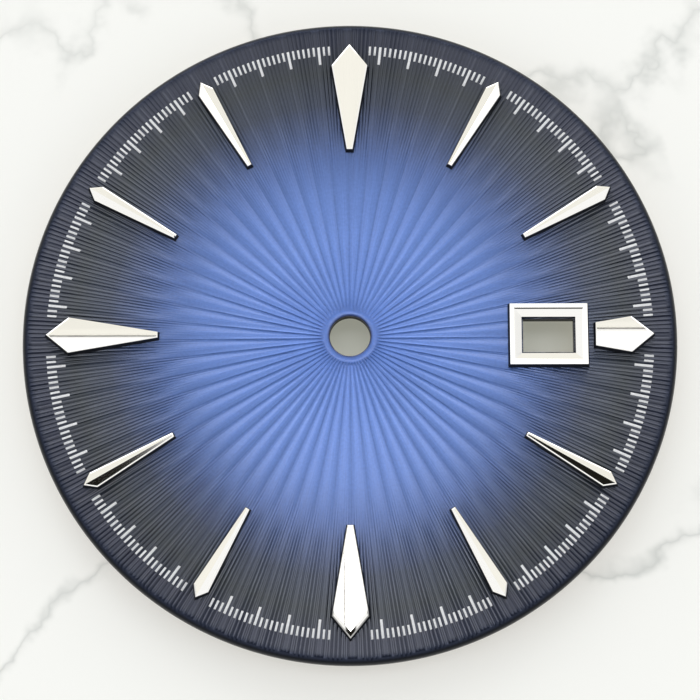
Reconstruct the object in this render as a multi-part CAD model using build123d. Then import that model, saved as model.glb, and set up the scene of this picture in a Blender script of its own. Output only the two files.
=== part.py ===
"""Fluted watch dial with applied markers, a framed date window and soldered feet.

The origin is on the centre hole's axis, in the plane of the dial's back face.
+Z points to the wearer and +Y to twelve o'clock. Clock angles run clockwise
from twelve, so the direction of clock angle a is (sin a, cos a). Millimetres.
"""
import os
from math import acos, atan, atan2, cos, degrees, hypot, radians, sin, tan

from build123d import *

# Dial plate: one brass disc with pressed flutes
plate_radius = 14.25
plate_thickness = 0.50        # back face to the crests of the flutes
plate_edge_radius = 0.45      # rounding of the outer front edge
plate_edge_steps = 2          # flats that stand for the rounding
plate_back_chamfer = 0.06
ring_radius = 1.45            # plain ring round the centre hole, where the flutes start
ring_height = 0.02            # the ring stands this far above the crests
hole_radius = 0.90
hole_edge_chamfer = 0.10      # the punched hole's broken front edge
flute_count = 60
flute_depth = 0.085           # crest to valley, at the outer edge
cut_overrun = 0.30            # how far every cutting tool runs past the metal

# Printed minute scale, set in from the plate's edge
hour_count = 12
divisions_per_flute = 6
scale_margin = 1.05               # plate's edge to the marks' outer ends
minute_mark_length = 0.83
minute_mark_width = 0.12
second_mark_length = 0.42
second_mark_width = 0.10
ink_thickness = 0.02
wide_marker_gap_divisions = 3     # short marks left out each side of a wide marker
narrow_marker_gap_divisions = 2

# Applied hour markers, each with its tip at the outer end of the scale
marker_height = 0.36              # crest plane to the top of the ridge or crown
marker_side_height = 0.22         # upright side wall, below the bevels
marker_side_bevel = 45.0          # degrees from the dial, along the sides
marker_tip_bevel = 30.0           # degrees from the dial, on the two tip facets
narrow_length = 4.45
narrow_tip_length = 0.50          # tip to the shoulders
narrow_shoulder_width = 0.767
narrow_inner_width = 0.24
narrow_facet_angle = 13.0         # degrees from the dial, each side of the ridge
wide_length = 4.90
wide_tip_length = 1.00
wide_shoulder_width = 1.634
wide_inner_width = 0.30
wide_crown_height = 0.10          # middle of the crown above the line of the shoulders
short_length = 2.59               # the marker beside the date window is cut off here
short_inner_width = 1.066

# Pins under the markers and the frame, and the cement that holds them
pin_radius = 0.15
pin_sides = 6
pin_hole_clearance = 0.03
pin_outer_share = 0.20            # places along the marker, from its tip
pin_inner_share = 0.60
short_pin_inner_share = 0.72
cement_sides = 8
cement_radius = 0.42              # at the back face
cement_top_radius = 0.28
cement_height = 0.13

# Date window and its frame
window_length = 2.20              # opening in the plate, along the radius
window_width = 1.47
frame_marker_gap = 0.31           # frame to the inner end of the marker beside it
frame_length = 3.38
frame_width = 2.69
frame_opening_length = 2.34
frame_opening_width = 1.61
frame_band = 0.18                 # flat outer band
frame_height = 0.35
frame_step = 0.03                 # drop from the band to the top of the slope
frame_lip_height = 0.12           # upright wall at the opening
frame_outer_chamfer = 0.03

# Copper feet for the movement
foot_radius = 0.375
foot_length = 1.60
foot_base_radius = 0.55
foot_base_height = 0.10
foot_end_chamfer = 0.06
foot_margin = 1.85                # plate's edge to the feet's axes
foot_first_angle = 51.0           # clock angle of the first foot
foot_pair_angle = 24.0            # the second foot of each pair follows this far on

# Worked out from the values above
flute_angle = 360.0 / flute_count
hour_angle = 360.0 / hour_count
crest_z = plate_thickness
mark_outer_radius = plate_radius - scale_margin
foot_circle_radius = plate_radius - foot_margin
window_centre_radius = mark_outer_radius - short_length - frame_marker_gap - frame_length / 2
wide_hours = (0, 3, 6, 9)
window_hour = 3


def clock_point(radius, angle, z=0.0):
    """Point at a radius and clock angle."""
    turn = radians(angle)
    return Vector(radius * sin(turn), radius * cos(turn), z)


def clock_turn(shape, angle):
    """Copy of a shape modelled at twelve o'clock, turned to a clock angle."""
    return shape.rotate(Axis.Z, -angle)


def flute_tilt():
    """Tilt of a flute's cutting cone and its half angle, in radians.

    The cone's tip is on the dial's axis at crest height. Its lower edge falls
    along the valley and its sides meet the next flutes' cones on the crests.
    """
    fall = atan(flute_depth / plate_radius)
    tilt = atan((cos(fall) - cos(radians(flute_angle / 2))) / sin(fall))
    return tilt, tilt + fall


def flute_cutter(angle, lift=0.0):
    """Cone that presses one flute whose valley lies at a clock angle."""
    tilt, half_angle = flute_tilt()
    start = ring_radius * cos(tilt)
    end = plate_radius + cut_overrun
    turn = radians(angle)
    axis = Vector(cos(tilt) * sin(turn), cos(tilt) * cos(turn), sin(tilt))
    seat = Plane(origin=axis * start + Vector(0, 0, crest_z + lift), z_dir=axis)
    cone = Cone(
        start * tan(half_angle),
        end * tan(half_angle),
        end - start,
        align=(Align.CENTER, Align.CENTER, Align.MIN),
    )
    return seat * cone


def plate_blank():
    """Disc with its centre hole, turned from one profile."""
    top = crest_z + ring_height
    edge_x = plate_radius - plate_edge_radius
    edge_z = top - plate_edge_radius
    turns = [radians(90) * step / plate_edge_steps for step in range(plate_edge_steps + 1)]
    edge = [
        (edge_x + plate_edge_radius * cos(turn), edge_z + plate_edge_radius * sin(turn))
        for turn in turns
    ]
    profile = [
        (hole_radius, 0),
        (plate_radius - plate_back_chamfer, 0),
        (plate_radius, plate_back_chamfer),
        *edge,
        (hole_radius + hole_edge_chamfer, top),
        (hole_radius, top - hole_edge_chamfer),
    ]
    return revolve(Plane.XZ * make_face(Polyline(*profile, close=True)), axis=Axis.Z)


def window_cutter():
    """Tool for the date opening."""
    tool = Box(window_length, window_width, crest_z + cut_overrun * 2)
    return Pos(window_centre_radius, 0, crest_z / 2) * tool


def post(radius, start_z, end_z, point):
    """Upright post with the pins' number of flat sides; the radius is to the flats."""
    shape = extrude(RegularPolygon(radius, pin_sides, major_radius=False), end_z - start_z)
    return Pos(point.X, point.Y, start_z) * shape


def pin_hole(point):
    """Tool for the hole that takes one pin."""
    return post(pin_radius + pin_hole_clearance, -cut_overrun, crest_z + cut_overrun, point)


def marker_length(hour):
    """Length of the marker at an hour, from its tip to its inner end."""
    if hour == window_hour:
        return short_length
    return wide_length if hour in wide_hours else narrow_length


def marker_pin_radii(hour):
    """Radii of the two pins under the marker at an hour."""
    inner_share = short_pin_inner_share if hour == window_hour else pin_inner_share
    length = marker_length(hour)
    return [mark_outer_radius - length * share for share in (pin_outer_share, inner_share)]


def frame_pin_places():
    """Places of the date frame's two pins, at opposite corners of its rim."""
    along = (frame_length + frame_opening_length) / 4
    across = (frame_width + frame_opening_width) / 4
    return [
        Vector(window_centre_radius + along, across, 0),
        Vector(window_centre_radius - along, -across, 0),
    ]


def pin_places():
    """Every pin's place in the plate."""
    places = [
        clock_point(radius, hour * hour_angle)
        for hour in range(hour_count)
        for radius in marker_pin_radii(hour)
    ]
    return places + frame_pin_places()


def pin(point):
    """Pin from the crest plane through the plate, trimmed flush with the back face."""
    return post(pin_radius, 0, crest_z, point)


def dial_plate():
    """Fluted plate with its date opening and pin holes.

    A crest lies at each minute, so the valleys are half a flute further on.
    """
    valleys = [(index + 0.5) * flute_angle for index in range(flute_count)]
    plate = plate_blank().cut(*[flute_cutter(angle) for angle in valleys])
    holes = [pin_hole(point) for point in pin_places()]
    return plate.cut(window_cutter(), *holes)


def flute_lines(angle):
    """Where the plate's surface lies at an angle from the valley of a flute.

    Both directions are seen from twelve o'clock, turned by the angle: the first
    runs out along the surface from the dial's axis, the second stands square on
    the surface. The cutting cone's sides all lean from its axis by one half angle.
    """
    tilt, half_angle = flute_tilt()
    turn = radians(angle)
    across, up = cos(turn) * cos(tilt), sin(tilt)
    fall = acos(cos(half_angle) / hypot(across, up)) - atan2(up, across)
    outwards = Vector(0, cos(fall), -sin(fall))
    axis = Vector(-cos(tilt) * sin(turn), cos(tilt) * cos(turn), sin(tilt))
    normal = (axis - outwards * cos(half_angle)) / sin(half_angle)
    return outwards, normal


def second_mark(angle):
    """Short mark at a clock angle, a thin tile laid on the side of a flute.

    The tile rests on its two long edges, above the hollow by the hollow's rise
    over half the tile's width.
    """
    outwards, normal = flute_lines(angle % flute_angle - flute_angle / 2)
    middle_radius = mark_outer_radius - second_mark_length / 2
    bend_radius = middle_radius * tan(flute_tilt()[1])
    rise = second_mark_width * second_mark_width / (bend_radius * 8)
    place = Vector(0, 0, crest_z) + outwards * middle_radius + normal * rise
    seat = Plane(origin=place, x_dir=outwards.cross(normal), z_dir=normal)
    tile = Box(
        second_mark_width,
        second_mark_length,
        ink_thickness,
        align=(Align.CENTER, Align.CENTER, Align.MIN),
    )
    return clock_turn(seat * tile, angle)


def minute_mark():
    """Long mark at twelve o'clock, folded over the crest of two flutes."""
    half = minute_mark_width / 2
    chord_angle = degrees(half / 2 / (mark_outer_radius - minute_mark_length / 2))
    normal = flute_lines(chord_angle - flute_angle / 2)[1]
    drop = half * abs(normal.X) / normal.Z
    section = [
        (-half, -drop),
        (0, 0),
        (half, -drop),
        (half, ink_thickness - drop),
        (0, ink_thickness),
        (-half, ink_thickness - drop),
    ]
    face = make_face(Polyline(*section, close=True))
    seat = Plane(origin=(0, mark_outer_radius, crest_z), x_dir=(1, 0, 0), z_dir=(0, -1, 0))
    return seat * extrude(face, minute_mark_length)


def minute_marks():
    """Long marks, one on each crest that no hour marker covers."""
    per_hour = flute_count // hour_count
    turns = [index * flute_angle for index in range(flute_count) if index % per_hour]
    return Compound(children=[clock_turn(minute_mark(), angle) for angle in turns])


def second_marks():
    """Short marks between the long ones, with gaps at the hour markers."""
    step = flute_angle / divisions_per_flute
    per_hour = flute_count * divisions_per_flute // hour_count
    marks = []
    for division in range(flute_count * divisions_per_flute):
        nearest_hour = round(division / per_hour)
        distance = abs(division - nearest_hour * per_hour)
        wide = nearest_hour % hour_count in wide_hours
        gap = wide_marker_gap_divisions if wide else narrow_marker_gap_divisions
        if division % divisions_per_flute and distance > gap:
            marks.append(second_mark(division * step))
    return Compound(children=marks)


def trim_above(solid, point, normal, size):
    """Solid without what lies beyond a plane through a point."""
    tool = Box(size, size, size, align=(Align.CENTER, Align.CENTER, Align.MIN))
    return solid - Plane(origin=point, z_dir=normal) * tool


def marker_outline(length, tip_length, shoulder_width, inner_width):
    """Corners of a marker's outline, anticlockwise from its inner left corner."""
    inner_radius = mark_outer_radius - length
    shoulder_radius = mark_outer_radius - tip_length
    return [
        Vector(-inner_width / 2, inner_radius),
        Vector(inner_width / 2, inner_radius),
        Vector(shoulder_width / 2, shoulder_radius),
        Vector(0, mark_outer_radius),
        Vector(-shoulder_width / 2, shoulder_radius),
    ]


def bevelled_block(outline):
    """Upright block on an outline, with a bevel along each edge of its top."""
    block = extrude(make_face(Polyline(*outline, close=True)), marker_height)
    block = Pos(0, 0, crest_z) * block
    count = len(outline)
    for index, start in enumerate(outline):
        end = outline[(index + 1) % count]
        along = (end - start).normalized()
        outwards = Vector(along.Y, -along.X, 0)
        on_tip = mark_outer_radius in (start.Y, end.Y)
        slope = radians(marker_tip_bevel if on_tip else marker_side_bevel)
        normal = outwards * sin(slope) + Vector(0, 0, cos(slope))
        point = (start + end) / 2 + Vector(0, 0, crest_z + marker_side_height)
        block = trim_above(block, point, normal, plate_radius)
    return block


def ridged_body():
    """Narrow marker: two flat facets that meet in a ridge along the middle."""
    body = bevelled_block(marker_outline(
        narrow_length, narrow_tip_length, narrow_shoulder_width, narrow_inner_width
    ))
    slope = radians(narrow_facet_angle)
    for side in (-1, 1):
        normal = Vector(side * sin(slope), 0, cos(slope))
        ridge = Vector(0, mark_outer_radius - narrow_tip_length, crest_z + marker_height)
        body = trim_above(body, ridge, normal, plate_radius)
    return body


def crowned_body(length, inner_width):
    """Wide marker: its top is a gentle crown, the same curve all along."""
    outline = marker_outline(length, wide_tip_length, wide_shoulder_width, inner_width)
    half = wide_shoulder_width / 2
    crown_radius = (half * half / wide_crown_height + wide_crown_height) / 2
    crown = Rot(90, 0, 0) * Cylinder(crown_radius, plate_radius * 2)
    crown = Pos(0, plate_radius, crest_z + marker_height - crown_radius) * crown
    return bevelled_block(outline) & crown


def hour_marker(body, hour):
    """Marker at its hour, with its two pins."""
    pins = [pin(clock_point(radius, 0)) for radius in marker_pin_radii(hour)]
    return clock_turn(body.fuse(*pins).clean(), hour * hour_angle)


def hour_markers():
    """Node name and solid of each of the twelve markers."""
    bodies = {
        "narrow": ridged_body(),
        "wide": crowned_body(wide_length, wide_inner_width),
        "short": crowned_body(short_length, short_inner_width),
    }
    markers = {}
    for hour in range(hour_count):
        kind = "wide" if hour in wide_hours else "narrow"
        kind = "short" if hour == window_hour else kind
        name = f"hour_marker_{hour or hour_count:02d}"
        markers[name] = hour_marker(bodies[kind], hour)
    return markers


def date_frame():
    """Frame with a flat band, a small step and four mitred slopes to the opening."""
    inner_length = frame_length - frame_band * 2
    inner_width = frame_width - frame_band * 2
    slope_top = frame_height - frame_step
    rim = extrude(Rectangle(frame_length, frame_width), frame_height)
    rim = chamfer(rim.edges().group_by(Axis.Z)[-1], frame_outer_chamfer)
    well = Pos(0, 0, slope_top) * Box(
        inner_length,
        inner_width,
        frame_height,
        align=(Align.CENTER, Align.CENTER, Align.MIN),
    )
    slopes = loft([
        Pos(0, 0, slope_top) * Rectangle(inner_length, inner_width),
        Pos(0, 0, frame_lip_height) * Rectangle(frame_opening_length, frame_opening_width),
    ], ruled=True)
    opening = Box(frame_opening_length, frame_opening_width, frame_height * 2)
    frame = Pos(window_centre_radius, 0, crest_z) * (rim - well - slopes - opening)
    return frame.fuse(*[pin(point) for point in frame_pin_places()]).clean()


def cement_dabs():
    """Cement over each pin's end: a low mound on the back face."""
    outline = RegularPolygon(cement_radius, cement_sides, major_radius=False)
    mound = extrude(outline, -cement_height)
    for edge in outline.edges():
        side = edge.center()
        outwards = side.normalized() * cement_height
        normal = outwards - Vector(0, 0, cement_radius - cement_top_radius)
        mound = trim_above(mound, side, normal, plate_radius)
    return Compound(children=[Pos(point.X, point.Y, 0) * mound for point in pin_places()])


def dial_foot():
    """Copper foot with the wider base that is welded to the back face."""
    with BuildPart() as foot:
        with BuildSketch(Plane.XZ):
            with BuildLine():
                Polyline(
                    (0, 0),
                    (foot_base_radius, 0),
                    (foot_radius, -foot_base_height),
                    (foot_radius, -foot_length + foot_end_chamfer),
                    (foot_radius - foot_end_chamfer, -foot_length),
                    (0, -foot_length),
                    close=True,
                )
            make_face()
        revolve(axis=Axis.Z)
    return foot.part


def dial_feet():
    """Node name and solid of each of the four feet, in two opposite pairs."""
    first = foot_first_angle
    angles = [first, first + foot_pair_angle, first + 180, first + foot_pair_angle + 180]
    feet = {}
    for number, angle in enumerate(angles, start=1):
        place = clock_point(foot_circle_radius, angle)
        feet[f"dial_foot_{number}"] = Pos(place.X, place.Y, 0) * dial_foot()
    return feet


def main():
    """Build every piece and write one file for each."""
    pieces = {
        "dial_plate": dial_plate(),
        "minute_marks": minute_marks(),
        "second_marks": second_marks(),
        "date_frame": date_frame(),
        "pin_cement": cement_dabs(),
    }
    pieces.update(hour_markers())
    pieces.update(dial_feet())
    os.makedirs("parts", exist_ok=True)
    for name, shape in pieces.items():
        export_step(shape, f"parts/{name}.step")
        print(name, len(shape.solids()), "solids", round(shape.volume, 4), "mm3")


main()
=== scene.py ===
"""Looks of a fluted watch dial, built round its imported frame.

Every sub-assembly is a class with its sizes in millimetres as fields. A clock
angle runs clockwise from twelve, which is +Y, and +Z points to the wearer.
"""

import enum
import logging
import math
from dataclasses import dataclass, field

import bpy
import numpy as np
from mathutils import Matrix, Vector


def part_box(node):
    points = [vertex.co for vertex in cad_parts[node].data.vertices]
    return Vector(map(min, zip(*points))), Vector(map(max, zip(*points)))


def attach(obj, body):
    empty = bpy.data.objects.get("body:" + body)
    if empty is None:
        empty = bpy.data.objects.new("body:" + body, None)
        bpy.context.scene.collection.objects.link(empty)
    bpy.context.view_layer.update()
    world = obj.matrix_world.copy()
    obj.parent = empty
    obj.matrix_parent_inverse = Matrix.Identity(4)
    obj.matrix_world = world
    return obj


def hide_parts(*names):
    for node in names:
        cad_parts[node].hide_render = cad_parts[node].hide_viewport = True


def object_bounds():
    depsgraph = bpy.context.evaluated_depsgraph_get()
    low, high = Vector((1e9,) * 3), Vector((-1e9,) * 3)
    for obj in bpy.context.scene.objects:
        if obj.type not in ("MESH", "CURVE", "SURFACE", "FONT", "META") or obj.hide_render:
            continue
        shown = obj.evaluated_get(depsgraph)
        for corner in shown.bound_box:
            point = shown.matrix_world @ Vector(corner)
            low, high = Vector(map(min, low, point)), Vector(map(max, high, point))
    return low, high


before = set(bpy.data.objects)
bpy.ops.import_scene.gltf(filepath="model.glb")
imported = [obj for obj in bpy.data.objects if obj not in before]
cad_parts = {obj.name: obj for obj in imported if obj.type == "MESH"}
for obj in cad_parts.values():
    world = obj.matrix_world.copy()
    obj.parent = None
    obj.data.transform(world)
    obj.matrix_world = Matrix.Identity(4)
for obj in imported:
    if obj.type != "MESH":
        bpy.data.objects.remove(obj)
CAD_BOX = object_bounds()
LOG = logging.getLogger("watch_dial")

Tree = bpy.types.NodeTree
Socket = bpy.types.NodeSocket

MM = 0.001                     # one millimetre in Blender's metres
HOURS = 12
HOUR_ANGLE = 360.0 / HOURS
FLUTES = 60
FLUTE_ANGLE = 360.0 / FLUTES
NOISE_RANGE = (0.3, 0.7)       # between which most values of a noise lie


class MarkerForm(enum.Enum):
    """The three forms of applied hour marker on this dial."""

    WIDE = "wide"
    NARROW = "narrow"
    SHORT = "short"


class Slot(str, enum.Enum):
    """The record's material slots."""

    PLATE = "dial_plate"
    INK = "scale_ink"
    MARKERS = "hour_markers"
    FRAME = "date_frame"
    CEMENT = "pin_cement"
    FEET = "dial_feet"


def linear_colour(code: str) -> tuple[float, float, float, float]:
    """Turn an sRGB hex colour into Blender's linear colour.

    Args:
        code: Six hex digits, such as "C9A45C".

    Returns:
        Red, green, blue and an alpha of one.
    """
    shares = np.array([int(code[i:i + 2], 16) for i in (0, 2, 4)]) / 255
    bent = np.where(shares <= 0.04045, shares / 12.92, ((shares + 0.055) / 1.055) ** 2.4)
    return (*bent.tolist(), 1.0)


def node_box(node: str) -> tuple[np.ndarray, np.ndarray]:
    """Box of a CAD node.

    Args:
        node: The node's name.

    Returns:
        Its lowest and its highest corner, in millimetres.
    """
    low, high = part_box(node)
    return np.array(low) / MM, np.array(high) / MM


def turned(points: np.ndarray, angle: np.ndarray | float) -> np.ndarray:
    """Turn points made at twelve o'clock to a clock angle.

    Args:
        points: Array whose last axis is x, y, z.
        angle: Clock angle in degrees, one value or an array that broadcasts.

    Returns:
        The turned points.
    """
    turn = np.radians(angle)
    x, y = points[..., 0], points[..., 1]
    return np.stack([
        x * np.cos(turn) + y * np.sin(turn),
        y * np.cos(turn) - x * np.sin(turn),
        points[..., 2] + 0 * turn,
    ], axis=-1)


def smooth_step(value: np.ndarray, start: float, end: float) -> np.ndarray:
    """Ease from 0 to 1: 3 t squared minus 2 t cubed, where t is the share of the way.

    Args:
        value: Values to ease.
        start: Value up to which the result is 0.
        end: Value from which it is 1.

    Returns:
        The eased values.
    """
    share = np.clip((value - start) / (end - start), 0, 1)
    return share * share * (3 - 2 * share)


def grid_quads(index: np.ndarray) -> np.ndarray:
    """Quads between neighbouring rows and columns of a grid.

    Args:
        index: Vertex numbers, row by row.

    Returns:
        Four vertex numbers for each quad.
    """
    return np.stack([
        index[:-1, :-1], index[:-1, 1:], index[1:, 1:], index[1:, :-1]
    ], axis=-1).reshape(-1, 4)


def ring_numbers(rings: int, columns: int) -> np.ndarray:
    """Number the vertices of rings, each with its first vertex again at its end.

    Args:
        rings: Number of rings.
        columns: Number of vertices in a ring.

    Returns:
        Vertex numbers, ring by ring.
    """
    index = np.arange(rings * columns).reshape(rings, columns)
    return np.hstack([index, index[:, :1]])


def add_node(
    tree: Tree, kind: str, inputs: dict | None = None, **settings: object
) -> bpy.types.Node:
    """Add a shader node with its settings, values and links.

    Args:
        tree: Node tree that gets the node.
        kind: Blender's name of the node type.
        inputs: Value, or socket to link from, by input name or number.
        **settings: The node's own properties.

    Returns:
        The new node.
    """
    node = tree.nodes.new(kind)
    for name, value in settings.items():
        setattr(node, name, value)
    for name, value in (inputs or {}).items():
        if isinstance(value, bpy.types.NodeSocket):
            tree.links.new(value, node.inputs[name])
        else:
            node.inputs[name].default_value = value
    return node


@dataclass
class Surface:
    """A closed mesh in millimetres, as arrays."""

    vertices: np.ndarray
    faces: list[list[int]]
    material_of_face: np.ndarray | None = None

    def make(self, name: str, finishes: "list[Finish]", sharp_angle: float = 30.0) -> bpy.types.Object:
        """Make the Blender object, smooth but for edges sharper than an angle.

        Args:
            name: Name of the piece.
            finishes: Finish of each material number.
            sharp_angle: Degrees between two faces, past which their edge is crisp.

        Returns:
            The new object, at the origin.
        """
        mesh = bpy.data.meshes.new(name)
        mesh.from_pydata(self.vertices * MM, [], self.faces)
        mesh.update()
        for finish in finishes:
            mesh.materials.append(finish.material())
        if self.material_of_face is not None:
            mesh.polygons.foreach_set("material_index", self.material_of_face.astype(np.int32))
        mesh.shade_smooth()
        mesh.set_sharp_from_angle(angle=math.radians(sharp_angle))
        piece = bpy.data.objects.new(name, mesh)
        bpy.context.scene.collection.objects.link(piece)
        return piece


def seat(piece: bpy.types.Object, slot: Slot, *nodes: str) -> None:
    """Let a piece ride on the dial and stand for its CAD nodes.

    Args:
        piece: The finished piece.
        slot: The record's material slot that it takes its finish from; not used.
        *nodes: CAD nodes that it replaces.
    """
    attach(piece, "root")
    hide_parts(*nodes)
    LOG.info("%s: %d vertices for %s", piece.name, len(piece.data.vertices), ", ".join(nodes))


@dataclass(frozen=True)
class Finish:
    """A finish with its name and its shader's own fixed values."""

    name: str

    def fixed(self) -> dict:
        """Values that are the same all over the surface."""
        return {}

    def dress(self, tree: Tree, shader: bpy.types.Node) -> None:
        """Add the pattern's nodes and link them to the shader.

        Args:
            tree: The material's node tree.
            shader: Its Principled shader.
        """

    def shade(self, tree: Tree) -> Socket:
        """Add the shader and dress it.

        Args:
            tree: The material's node tree.

        Returns:
            Socket of the finished surface.
        """
        shader = add_node(tree, "ShaderNodeBsdfPrincipled", self.fixed())
        self.dress(tree, shader)
        return shader.outputs[0]

    def material(self) -> bpy.types.Material:
        """Make the Blender material, or find it when it was made before.

        Returns:
            The material.
        """
        known = bpy.data.materials.get(self.name)
        if known:
            return known
        material = bpy.data.materials.new(self.name)
        material.use_nodes = True
        tree = material.node_tree
        tree.nodes.clear()
        add_node(tree, "ShaderNodeOutputMaterial", {"Surface": self.shade(tree)})
        return material


def place_nodes(tree: Tree) -> tuple[Socket, Socket, Socket]:
    """Nodes that say where a point lies on the dial.

    Args:
        tree: Node tree of a material.

    Returns:
        Sockets of the point in metres, its radius in millimetres and the unit
        direction from the dial's axis.
    """
    point = add_node(tree, "ShaderNodeTexCoord").outputs["Object"]
    flat = add_node(
        tree, "ShaderNodeVectorMath", {0: point, 1: (1, 1, 0)}, operation="MULTIPLY"
    ).outputs[0]
    length = add_node(tree, "ShaderNodeVectorMath", {0: flat}, operation="LENGTH").outputs["Value"]
    radius = add_node(tree, "ShaderNodeMath", {0: length, 1: MM}, operation="DIVIDE").outputs[0]
    outwards = add_node(tree, "ShaderNodeVectorMath", {0: flat}, operation="NORMALIZE").outputs[0]
    return point, radius, outwards


def streaks(
    tree: Tree, along: Socket, across: Socket, length: float, width: float, detail: float
) -> Socket:
    """Noise drawn out into streaks.

    Args:
        tree: Node tree of a material.
        along: Socket of the place along the streak, in the unit of length.
        across: Socket of a vector in which streaks lie side by side, in the unit of width.
        length: Length of one streak.
        width: Width of one streak.
        detail: Number of finer layers.

    Returns:
        Socket of the noise, about 0.5 on average.
    """
    side = add_node(
        tree, "ShaderNodeVectorMath", {0: across, "Scale": 1 / width}, operation="SCALE"
    ).outputs[0]
    step = add_node(tree, "ShaderNodeMath", {0: along, 1: length}, operation="DIVIDE").outputs[0]
    lift = add_node(tree, "ShaderNodeCombineXYZ", {"Z": step}).outputs[0]
    vector = add_node(tree, "ShaderNodeVectorMath", {0: side, 1: lift}, operation="ADD").outputs[0]
    inputs = {"Vector": vector, "Scale": 1.0, "Detail": detail, "Roughness": 0.6}
    return add_node(tree, "ShaderNodeTexNoise", inputs).outputs["Fac"]


def spread(tree: Tree, noise: Socket, low: float, high: float) -> Socket:
    """Carry a noise over to a range of its own.

    Args:
        tree: Node tree of a material.
        noise: Socket of the noise.
        low: Result at the lower end of NOISE_RANGE.
        high: Result at its upper end.

    Returns:
        Socket of the result.
    """
    return add_node(tree, "ShaderNodeMapRange", {
        "Value": noise, "From Min": NOISE_RANGE[0], "From Max": NOISE_RANGE[1],
        "To Min": low, "To Max": high,
    }).outputs[0]


def tint(tree: Tree, shader: bpy.types.Node, code: str, light: Socket) -> None:
    """Give a shader a base colour that a pattern makes lighter and darker.

    Args:
        tree: Node tree of a material.
        shader: Its Principled shader.
        code: Six hex digits of the colour.
        light: Socket of the pattern, 1 where the colour is as given.
    """
    colour = add_node(
        tree, "ShaderNodeVectorMath", {0: linear_colour(code)[:3], "Scale": light}, operation="SCALE"
    ).outputs[0]
    tree.links.new(colour, shader.inputs["Base Color"])


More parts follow.
